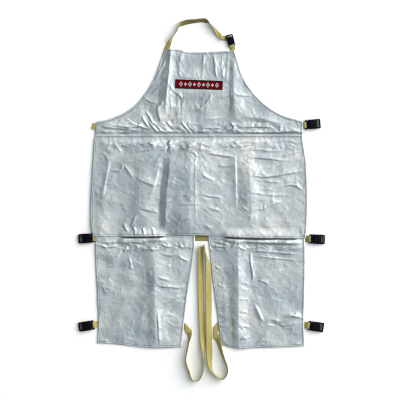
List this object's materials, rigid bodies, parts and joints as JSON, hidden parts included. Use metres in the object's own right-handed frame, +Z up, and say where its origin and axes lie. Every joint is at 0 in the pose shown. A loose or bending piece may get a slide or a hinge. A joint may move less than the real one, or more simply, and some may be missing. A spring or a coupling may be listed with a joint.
{
  "type": "fire-retardant apron",
  "caption": "Aluminised split-leg bib apron lying flat, with yellow webbing straps and black side-release buckles.",
  "frame": {"origin": "middle of the waist seam, on the surface that the apron lies on", "axes": "+Z up from that surface, out of the apron's face; +Y along the apron towards the neck; +X to the right of the face as seen from above"},
  "size_m": [0.7899, 1.1615, 0.02],
  "materials": {
    "aluminised_cloth": "aluminised silver face over a golden-tan woven backing, softly creased",
    "woven_patch": "dark red twill with a black stitched border",
    "webbing": "golden yellow woven webbing",
    "buckle_plastic": "near-black moulded plastic, half matte"
  },
  "bodies": {
    "root": {"bib_panel": "aluminised_cloth", "skirt_panel": "aluminised_cloth", "leg_left": "aluminised_cloth", "leg_right": "aluminised_cloth", "badge": "woven_patch", "neck_strap": "webbing", "neck_loop": "webbing", "waist_loop": "webbing", "waist_strap": "webbing", "hip_strap": "webbing", "leg_loop_left": "webbing", "leg_loop_right": "webbing", "leg_strap_left": "webbing", "leg_strap_right": "webbing", "neck_buckle_female": "buckle_plastic", "neck_buckle_male": "buckle_plastic", "waist_buckle_female": "buckle_plastic", "waist_buckle_male": "buckle_plastic", "hip_buckle_left_female": "buckle_plastic", "hip_buckle_left_male": "buckle_plastic", "hip_buckle_right_female": "buckle_plastic", "hip_buckle_right_male": "buckle_plastic", "leg_buckle_left_female": "buckle_plastic", "leg_buckle_left_male": "buckle_plastic", "leg_buckle_right_female": "buckle_plastic", "leg_buckle_right_male": "buckle_plastic"}
  },
  "joints": []
}
